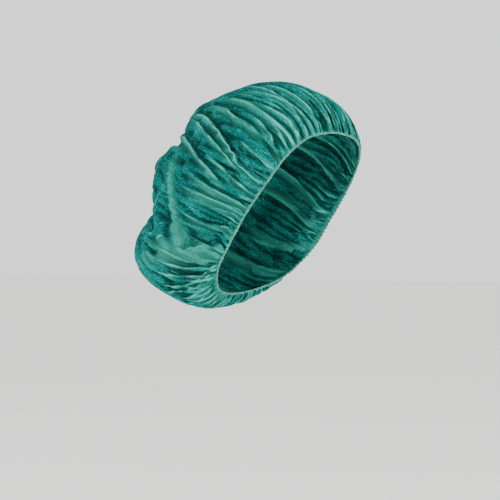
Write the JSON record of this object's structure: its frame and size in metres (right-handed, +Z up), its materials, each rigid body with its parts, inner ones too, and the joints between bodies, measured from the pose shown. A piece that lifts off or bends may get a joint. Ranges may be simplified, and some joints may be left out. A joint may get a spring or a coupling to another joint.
{
  "type": "disposable hair cover cap",
  "caption": "Thin non-woven bouffant cap in its worn form: a round sheet gathered onto a narrow elastic hem, smooth over the head and slack in a bag behind the nape.",
  "frame": {"origin": "middle of the head opening, halfway between the hem's highest point at the forehead and its lowest at the nape", "axes": "+Z up, -Y towards the forehead, +Y towards the bag behind the nape, -X the wearer's right ear"},
  "size_m": [0.1708, 0.2531, 0.2294],
  "materials": {
    "nonwoven_cloth": "matt spunbonded non-woven, slightly see-through",
    "elastic_hem_cloth": "matt non-woven folded over a hidden elastic and crimped"
  },
  "bodies": {
    "root": {"gathered_crown": "nonwoven_cloth", "elastic_hem": "elastic_hem_cloth"}
  },
  "joints": []
}
